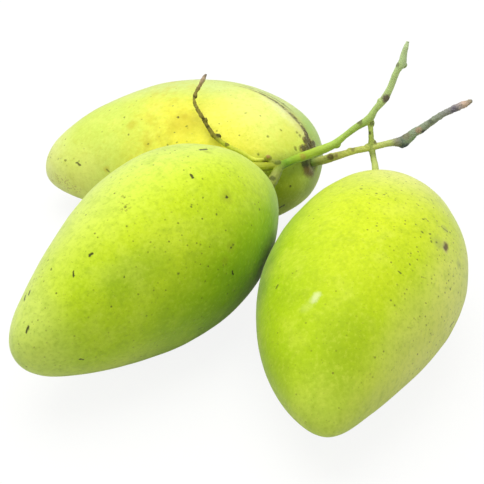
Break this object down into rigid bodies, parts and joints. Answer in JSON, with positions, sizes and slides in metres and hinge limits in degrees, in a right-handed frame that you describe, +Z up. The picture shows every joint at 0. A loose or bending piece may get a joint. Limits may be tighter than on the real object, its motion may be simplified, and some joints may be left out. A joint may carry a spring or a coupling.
{
  "type": "cluster of green mangoes on a fruit stalk",
  "caption": "Green mangoes, long and kidney-shaped, lying on a table and still joined by one cut, branching fruit stalk.",
  "frame": {"origin": "middle of the cluster's footprint box, at the height of the table it lies on", "axes": "+Z up; +Y away from the viewer, along the longest extent; +X to the viewer's right, where the stalk's broken ends point"},
  "size_m": [0.1792, 0.1986, 0.089],
  "materials": {
    "left_skin": "waxy lime-green fruit skin with a soft satin sheen and fine dark lenticels, deeper green on its shaded side",
    "right_skin": "waxy bright yellow-green fruit skin with a soft satin sheen and many small brown lenticels",
    "back_skin": "waxy skin ripening to yellow, with a pale green edge, a brown sap line and a corky stem end",
    "stalk": "fresh green to olive fruit stalk with dark bud scars and dry brown broken ends"
  },
  "bodies": {
    "root": {"mango_left": "left_skin", "mango_right": "right_skin", "mango_back": "back_skin", "fruit_stalk": "stalk"}
  },
  "joints": []
}
